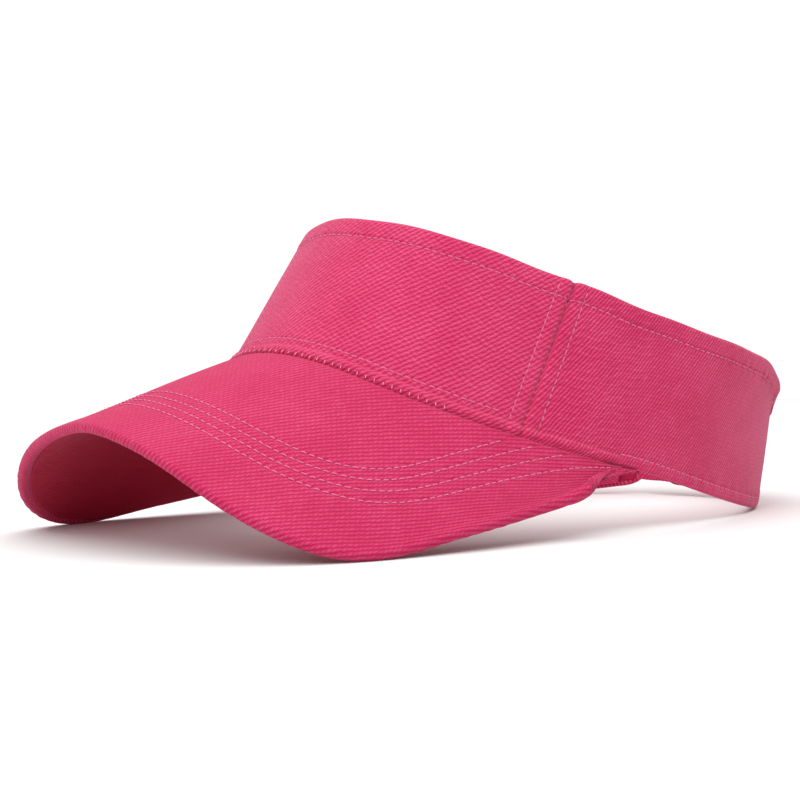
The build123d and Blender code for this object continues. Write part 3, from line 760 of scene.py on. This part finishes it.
def brim_top_piece():
    """The top cover, dipped along the join and turned round the edge, and the points of its upper side."""
    relief = brim_relief(BASE)
    from_join = np.linalg.norm(BASE - J_ALL[None], axis=-1)
    relief = relief * smooth(0.0, 4.0, from_join) - 1.5 * groove(from_join, 1.5) * smooth(6.0, 40.0, TO_TIP)
    top = BASE + NORMAL * relief[..., None]
    # the rim: the cloth turns round the board's edge and ends under it
    n = NORMAL[-1]
    out = np.cross(n, np.gradient(O_ALL, axis=0))
    out *= np.sign(np.sum(out * (O_ALL - J_ALL), axis=1))[:, None]
    out /= np.linalg.norm(out, axis=1)[:, None]
    thin = THIN[:, None]
    rim_r = BRIM_T / 2 * thin
    wob = 0.10 * wave_1d(RUN_O, 5.5, 61)[:, None]
    turn = [top[-1] + out * ((0.75 * rim_r + wob) * math.sin(a)) - n * (rim_r * (1 - math.cos(a)))
            for a in np.linspace(0, math.pi, 13)[1:]]
    tuck = ((0.8, 0.0), (1.6, 0.02), (2.3, 0.1), (2.8, 0.35), (3.1, 0.7))    # inward, up
    under = [turn[-1] + (n * up - out * inward) * thin for inward, up in tuck]
    pts = np.concatenate([top, np.array(turn), np.array(under)])
    uv = brim_cloth_uv(top)
    steps = np.linalg.norm(np.diff(pts[len(top) - 1:], axis=0), axis=-1).cumsum(axis=0)
    along_uv = np.gradient(uv[-1], axis=0)
    along_uv /= np.maximum(np.linalg.norm(along_uv, axis=-1, keepdims=True), 1e-6)
    dir_uv = np.stack([along_uv[:, 1], -along_uv[:, 0]], -1)
    dir_uv *= np.sign(np.sum(dir_uv * (uv[-1] - uv[-12]), axis=-1, keepdims=True))
    extra = uv[-1][None] + dir_uv[None] * steps[..., None]
    uv = np.concatenate([uv, extra])
    return grid_mesh("brim_top_cloth", pts, uv, BRIM_TWILL, thickness=0.5, flip=True), top


def brim_under_piece():
    """The under cover, from inside the band's wall to just short of the turned edge."""
    u = np.linspace(0.0, 1.0, 80)[:, None]
    p = brim_surface(u)
    n = upward_normals(p)
    uv = brim_cloth_uv(p)
    relief = 0.2 * ripple(uv[..., 0], uv[..., 1], 45.0, 77)
    for row in ROWS:
        dist = row_distance(p, row)
        relief = relief - np.where(np.abs(dist) < NEAR_ROW, 0.22 * groove(dist, 0.8), 0)
    pull = np.minimum(0.5, 2.4 / np.maximum(REACH, 3.0))
    start = clear_of_wall(BRIM_T, -0.9, 0.6)
    p = brim_surface(start + np.maximum(1 - pull - start, 0.02) * u)
    pts = p - n * ((BRIM_T - 0.05 + relief * 0.6) * THIN)[..., None]
    keep = slice(44, -44)                              # stops short of the rear corners
    return grid_mesh("brim_under_cloth", pts[:, keep], uv[:, keep], SHADED_UNDER_CLOTH, thickness=0.4)


brim_top, TOP_PTS = brim_top_piece()
attach(brim_top, "visor", "brim_top_cover")
attach(brim_under_piece(), "visor", "brim_bottom_cover")


# ---------------------------------------------------------------- stitching
def on_cloth(s, q, h, low, top):
    """A line just off the outer cloth at heights h, and its outward directions."""
    lift = outer_relief(s, q, h - low, top - low) + THREAD_LIFT
    return to_world(wall(q, h, -lift)), outward(q, h)


def thread(name, lines, node=None, material=THREAD, **size):
    return attach(stitch_mesh(name, lines, material, **size), "visor", node)


places = np.arange(-END_S + 2.0, END_S - 2.0, 0.5)
q, low, top = panel_edges(places)
thread("top_edge_thread", [on_cloth(places, q, top - TOP_STITCH, low, top)], "top_edge_stitching")
lines = []
for sx in (1, -1):
    places = sx * np.arange(float(arc(85.0)), END_S - 2.0, 0.5)
    q, low, top = panel_edges(places)
    lines.append(on_cloth(places, q, low + LOW_STITCH, low, top))
places = np.arange(-SEAM_S + 6, SEAM_S - 6, 0.5)
q, low, top = panel_edges(places)
lines.append(on_cloth(places, q, edge_height(JOIN_EDGE, q) + 5.0, low, top))
thread("lower_edge_thread", lines, "lower_edge_stitching")
lines = []
for sx in (1, -1):
    for side in (-1, 1):
        s0 = sx * (SEAM_S + side * SEAM_STITCH)
        q0 = angle_at(np.array([s0]))
        low, top, join = (edge_height(edge, q0)[0] for edge in (LOW_EDGE, TOP_EDGE, JOIN_EDGE))
        h = np.arange(join + 3.2, top - 0.8, 0.5)
        lines.append(on_cloth(np.full(h.shape, s0), np.broadcast_to(q0, h.shape), h, low, top))
thread("side_seam_thread", lines, "side_seam_stitching")


def brim_row(row):
    """The stitch row's path over the brim, where each ruling crosses it."""
    f = row_field(BASE, row)
    path, nor = [], []
    for c in range(BASE.shape[1]):
        if f[3, c] > -0.02:
            continue
        k = int(np.argmax(f[:, c] > 0))
        if k == 0:
            continue
        w = f[k - 1, c] / (f[k - 1, c] - f[k, c])
        path.append(TOP_PTS[k - 1, c] * (1 - w) + TOP_PTS[k, c] * w + NORMAL[k, c] * 0.1)
        nor.append(NORMAL[k, c])
    path = np.array(path)
    run = run_along(path)
    even = np.arange(0, run[-1], 0.5)
    return resample(path, run, even), resample(np.array(nor), run, even)


thread("brim_rows_thread", [brim_row(r) for r in ROWS], "brim_stitching", width=0.52, height=0.36)


def join_stitches():
    """Short threads that bridge the gap between the rolled edge and the brim."""
    lines = []
    share = np.linspace(0, 1, 8)[:, None]
    for s0 in np.arange(-float(arc(58.0)), float(arc(58.0)), 2.9):
        q = angle_at(np.array([s0 - 0.15, s0 + 0.3]))
        h = edge_height(JOIN_EDGE, q) + np.array([0.5, -1.25])
        p, n = to_world(wall(q, h, np.array([-1.25, -2.1]))), outward(q, h)
        lines.append((p[0] * (1 - share) + p[1] * share, n[0] * (1 - share) + n[1] * share))
    return lines


thread("join_thread", join_stitches(), material=THREAD_LIGHT, width=0.36, height=0.32, step=1.8, length=1.6)


# ---------------------------------------------------------------- closure straps
BACK_H = 30.0                      # the straps' curve is taken at this height
BACK_Y = oval_params(BACK_H)[6]
BACK_R = float(oval_params(BACK_H)[2])
BACK_WALL = float(wall(180.0, BACK_H)[1])
MID_H, HALF_H = (STRAP_LO + STRAP_HI) / 2, (STRAP_HI - STRAP_LO) / 2
ROOT_X = PANEL_END_X - 0.3


def strap_point(x, z, d):
    """World point at the back: x across, z up the band, d deep from the outer face."""
    r = BACK_R - d + wall(180.0, z)[..., 1] - BACK_WALL
    return to_world(np.stack([x + 0 * r, BACK_Y + np.sqrt(np.clip(r**2 - x**2, 0, None)), z + 0 * r], -1))


def outer_depth(x):
    """The outer strap goes on in line with its panel."""
    return 0.0 * x


def inner_depth(x):
    """The inner strap leaves its panel at the surface and steps in under the outer one."""
    return 0.2 + 4.1 * smooth(-ROOT_X, -ROOT_X + 13.0, x)


def strap_piece(name, node, sx, depth_fn, x_end, body):
    """A flat sewn strap across the back, thinner along its stitched border, rounded at its free end."""
    length = abs(sx * ROOT_X - x_end)
    n_len, n_ring, th = 150, 132, 1.9
    t = np.linspace(0, 1, n_len) ** 0.9
    x = sx * (ROOT_X - length * t)
    to_tip = length * (1 - t)
    half_h = HALF_H - corner_cut(to_tip)
    ang = np.linspace(0, 2 * math.pi, n_ring, endpoint=False)
    sec_h = np.sign(np.sin(ang)) * np.abs(np.sin(ang)) ** 0.8
    sec_d = np.sign(np.cos(ang)) * np.abs(np.cos(ang)) ** 0.4
    z = MID_H + sec_h[None, :] * half_h[:, None]
    border = np.minimum(half_h[:, None] * (1 - np.abs(sec_h))[None, :], to_tip[:, None])
    full = 0.5 * th * (0.7 + 0.3 * smooth(0.0, 2.2, border)) - 0.17 * groove(border - 3.0, 0.6)
    full = full * np.minimum(1.0, 0.3 + to_tip / 1.0)[:, None]
    full = full + 0.06 * ripple(x[:, None] + 0 * z, z, 14.0, 51)
    xs = np.broadcast_to(x[:, None], z.shape)
    pts = strap_point(xs, z, depth_fn(xs) + th / 2 - sec_d[None, :] * full)
    faces = grid_faces(n_len, n_ring, True)
    caps = []
    for row in (0, n_len - 1):
        loop = row * n_ring + np.arange(n_ring)
        a, b_ = loop[: n_ring // 2], loop[::-1][: n_ring // 2]
        quad = np.stack([a[:-1], a[1:], b_[1:], b_[:-1]], -1)
        caps.append(quad if row == 0 else quad[:, ::-1])
    faces = np.concatenate([faces[:, ::-1]] + caps)
    faces = faces if sx > 0 else faces[:, ::-1]
    uv = np.stack([xs, z], -1).reshape(-1, 2)
    attach(make_mesh(name, pts.reshape(-1, 3), faces, uv, STRAP_TWILL), body, node)


def border_thread(name, sx, depth_fn, x_end, body):
    """A stitch row round the strap, 3 mm in from its edge, on the outer side."""
    x0, x1 = ROOT_X - 2.0, ROOT_X + 3.0 - abs(sx * ROOT_X - x_end)
    hh, r = HALF_H - 3.0, 4.5
    pts = [(x0, -hh)]
    pts += [(x1 + r - r * math.sin(a), -hh + r - r * math.cos(a)) for a in np.linspace(0, math.pi / 2, 8)]
    pts += [(x1 + r - r * math.cos(a), hh - r + r * math.sin(a)) for a in np.linspace(0, math.pi / 2, 8)]
    pts = np.array(pts + [(x0, hh), (x0, -hh)])
    run = run_along(pts)
    x, z = (resample(pts, run, np.arange(0, run[-1], 0.5)) * [sx, 1] + [0, MID_H]).T
    p = strap_point(x, z, depth_fn(x) + 0.02)
    n = strap_point(x, z, -10.0 + 0 * x) - strap_point(x, z, 0 * x)
    attach(stitch_mesh(name, [(p, n)], THREAD), body)


def tape_piece(name, node, body, x_a, x_b, d_face, d_back, material, kind):
    """The fastening strip: a base with rows of small hooks, or a brushed pile of loops, on its face."""
    lo, hi = STRAP_LO + 5, STRAP_HI - 5
    xs, zs = np.meshgrid(np.linspace(x_a, x_b, 90), np.linspace(lo, hi, 70), indexing="ij")
    edge = np.minimum(np.minimum(np.abs(xs - x_a), np.abs(xs - x_b)), np.minimum(zs - lo, hi - zs))
    sign = 1.0 if d_face > d_back else -1.0
    base = abs(d_face - d_back) * (0.45 if kind == "hook" else 0.8)
    rise = base * smooth(-0.2, 0.7, edge)
    if kind == "loop":
        rise = rise + 0.16 * smooth(0.4, 1.2, edge) * ripple(xs, zs, 2.2, 71) * ripple(xs, zs, 1.3, 72)
    pts = strap_point(xs, zs, d_back + sign * rise)
    strip = grid_mesh(name, pts, np.stack([xs, zs], -1), material, thickness=0.25, offset=0.0)
    attach(strip, body, node)
    if kind != "hook":
        return
    verts, faces = [], []
    ang = np.linspace(0, 2 * math.pi, 6, endpoint=False)
    profile = [(0.16, 0.0), (0.10, 0.3), (0.10, 0.42), (0.26, 0.46), (0.22, 0.56), (0.06, 0.62)]
    k = 0
    for ix, x in enumerate(np.arange(min(x_a, x_b) + 1.4, max(x_a, x_b) - 1.2, 1.25)):
        for z in np.arange(lo + 1.2 + 0.6 * (ix % 2), hi - 1.0, 1.25):
            for r, h in profile:
                d = np.full(ang.shape, d_back + sign * (base + h))
                verts.append(strap_point(x + r * np.cos(ang), z + r * np.sin(ang), d))
            faces.append(grid_faces(len(profile), 6, True) + k)
            top = k + (len(profile) - 1) * 6
            faces.append(np.array([[top, top + 1, top + 2, top + 3], [top, top + 3, top + 4, top + 5]]))
            k += len(profile) * 6
    verts = np.concatenate(verts)
    attach(make_mesh(name + "_hooks", verts, np.concatenate(faces), verts[:, :2], material), body)


def nylon(name, base, dark, scale, rough):
    """Moulded or brushed nylon: fine uneven fibres."""
    n = Nodes(name)
    obj = n.add("ShaderNodeTexCoord").outputs["Object"]
    fine, broad = n.noise(obj, scale, 4.0, 0.7), n.noise(obj, scale / 12, 3.0)
    tone = n.math("ADD", n.math("MULTIPLY", fine, 0.7), n.math("MULTIPLY", broad, 0.3))
    return n.surface(n.mix(n.ramp(tone, 0.25, 0.75), dark, base), fine, 0.12,
                     n.ramp(fine, 0.2, 0.8, rough, rough + 0.15), {"Sheen Weight": 0.2})


HOOKS = nylon("hook_nylon", rgb(0.52, 0.030, 0.12), rgb(0.36, 0.015, 0.07), 1800.0, 0.4)
LOOPS = nylon("loop_nylon", rgb(0.56, 0.040, 0.14), rgb(0.34, 0.012, 0.06), 3200.0, 0.75)
strap_piece("hook_strap_cloth", "hook_strap", 1, outer_depth, HOOK_END_X, "hook_strap")
strap_piece("loop_strap_cloth", "loop_strap", -1, inner_depth, LOOP_END_X, "loop_strap")
border_thread("hook_strap_thread", 1, outer_depth, HOOK_END_X, "hook_strap")
border_thread("loop_strap_thread", -1, inner_depth, LOOP_END_X, "loop_strap")
tape_piece("hook_tape_strip", "hook_tape", "hook_strap", 14.7, -18.3, 3.0, 2.0, HOOKS, "hook")
tape_piece("loop_tape_strip", "loop_tape", "loop_strap", -11.7, 22.3, 3.3, 4.25, LOOPS, "loop")

BOARD = nylon("board_plastic", rgb(0.80, 0.80, 0.77), rgb(0.70, 0.70, 0.67), 300.0, 0.45)


def board_piece():
    """The stiff sheet inside the brim, between the two covers."""
    edge = np.minimum(2.5 / np.maximum(REACH, 8.0), 0.3)
    lo = clear_of_wall(2.8, 1.0, 0.5) + edge
    p = brim_surface(lo + (1 - edge - lo) * np.linspace(0, 1, 40)[:, None])
    pts = p - upward_normals(p) * (1.05 * THIN)[:, None]
    keep = slice(60, -60)                              # stops short of the rear corners
    return grid_mesh("brim_board_plate", pts[:, keep], p[:, keep, :2], BOARD, thickness=1.5, flip=True)


attach(board_piece(), "visor", "brim_board")


# ---------------------------------------------------------------- cut sizes of the cloth
# piece, width and length of the cut (m), flat area where the cut is curved, what it lies on
CUTS = [
    ("front_panel_cloth", 0.081, 0.188, None, "front_interlining_cloth"),
    ("front_interlining_cloth", 0.056, 0.181, None, "front_lining_cloth"),
    ("front_lining_cloth", 0.056, 0.186, None, "front_interlining_cloth"),
    ("brim_top_cloth", 0.150, 0.235, 0.0229, "brim_board_plate"),
    ("brim_under_cloth", 0.125, 0.225, 0.0168, "brim_board_plate"),
    ("hook_strap_cloth", 0.037, 0.052, None, "side_panel_left_cloth"),
    ("loop_strap_cloth", 0.037, 0.055, None, "side_panel_right_cloth"),
    ("hook_tape_strip", 0.027, 0.033, None, "hook_strap_cloth"),
    ("loop_tape_strip", 0.027, 0.036, None, "loop_strap_cloth"),
]
for side in ("left", "right"):
    CUTS += [
        (f"side_panel_{side}_cloth", 0.076, 0.161, None, f"side_interlining_{side}_cloth"),
        (f"side_interlining_{side}_cloth", 0.051, 0.155, None, f"side_lining_{side}_cloth"),
        (f"side_lining_{side}_cloth", 0.051, 0.159, None, f"side_interlining_{side}_cloth"),
        (f"seam_tape_{side}_cloth", 0.012, 0.050, None, f"side_lining_{side}_cloth"),
    ]


# ---------------------------------------------------------------- stage, lights and camera
def plane(name, size, z, material):
    me = bpy.data.meshes.new(name)
    corners = [(-size, -size, z), (size, -size, z), (size, size, z), (-size, size, z)]
    me.from_pydata(corners, [], [(0, 1, 2, 3)])
    me.materials.append(material)
    ob = bpy.data.objects.new(name, me)
    bpy.context.scene.collection.objects.link(ob)


floor_mat = bpy.data.materials.new("studio_floor")
floor_mat.use_nodes = True
floor_bsdf = floor_mat.node_tree.nodes["Principled BSDF"]
floor_bsdf.inputs["Base Color"].default_value = rgb(0.80, 0.80, 0.80)
floor_bsdf.inputs["Roughness"].default_value = 0.9
floor_bsdf.inputs["Specular IOR Level"].default_value = 0.0
plane("studio_floor", 0.95, -0.0004, floor_mat)


def area_light(name, place, aim, size, power):
    data = bpy.data.lights.new(name, "AREA")
    data.shape = "RECTANGLE"
    data.size, data.size_y = size
    data.energy = power
    ob = bpy.data.objects.new(name, data)
    ob.location = place
    ob.rotation_euler = (Vector(aim) - Vector(place)).to_track_quat("-Z", "Y").to_euler()
    bpy.context.scene.collection.objects.link(ob)


area_light("top_softbox", (0.0, 0.0, 1.7), (0, 0, 0), (3.4, 3.4), 66)
area_light("front_softbox", (0.7, -1.35, 0.9), (0, 0, 0.06), (1.2, 1.0), 10)

world = bpy.data.worlds.new("studio")
bpy.context.scene.world = world
world.use_nodes = True
wt = world.node_tree
bg = wt.nodes["Background"]
bg.inputs["Color"].default_value = rgb(1, 1, 1)
bg.inputs["Strength"].default_value = 0.35
seen = wt.nodes.new("ShaderNodeBackground")
seen.inputs["Color"].default_value = rgb(1, 1, 1)
seen.inputs["Strength"].default_value = 1.05
path = wt.nodes.new("ShaderNodeLightPath")
mixer = wt.nodes.new("ShaderNodeMixShader")
wt.links.new(path.outputs["Is Camera Ray"], mixer.inputs[0])
wt.links.new(bg.outputs[0], mixer.inputs[1])
wt.links.new(seen.outputs[0], mixer.inputs[2])
wt.links.new(mixer.outputs[0], wt.nodes["World Output"].inputs[0])
bpy.context.scene.view_settings.view_transform = "Standard"
bpy.context.scene.view_settings.look = "None"

CAM_AZ, CAM_EL, CAM_DIST, CAM_ROLL = 51.79, 2.0, 0.7215, -0.84
CAM_AIM = Vector((0.0, -0.0185, 0.0427))
az, el = math.radians(CAM_AZ), math.radians(CAM_EL)
back = Vector((math.sin(az) * math.cos(el), -math.cos(az) * math.cos(el), math.sin(el)))
cam_data = bpy.data.cameras.new("camera")
cam_data.sensor_width = 36.0
cam_data.lens = 93.2
cam_data.clip_start, cam_data.clip_end = 0.01, 100.0
cam = bpy.data.objects.new("camera", cam_data)
bpy.context.scene.collection.objects.link(cam)
right = Vector((math.cos(az), math.sin(az), 0.0))
up = back.cross(right)
roll = math.radians(CAM_ROLL)
right, up = math.cos(roll) * right + math.sin(roll) * up, -math.sin(roll) * right + math.cos(roll) * up
cam.matrix_world = Matrix((
    (right.x, up.x, back.x, CAM_AIM.x + back.x * CAM_DIST),
    (right.y, up.y, back.y, CAM_AIM.y + back.y * CAM_DIST),
    (right.z, up.z, back.z, CAM_AIM.z + back.z * CAM_DIST),
    (0, 0, 0, 1)))
bpy.context.scene.camera = cam
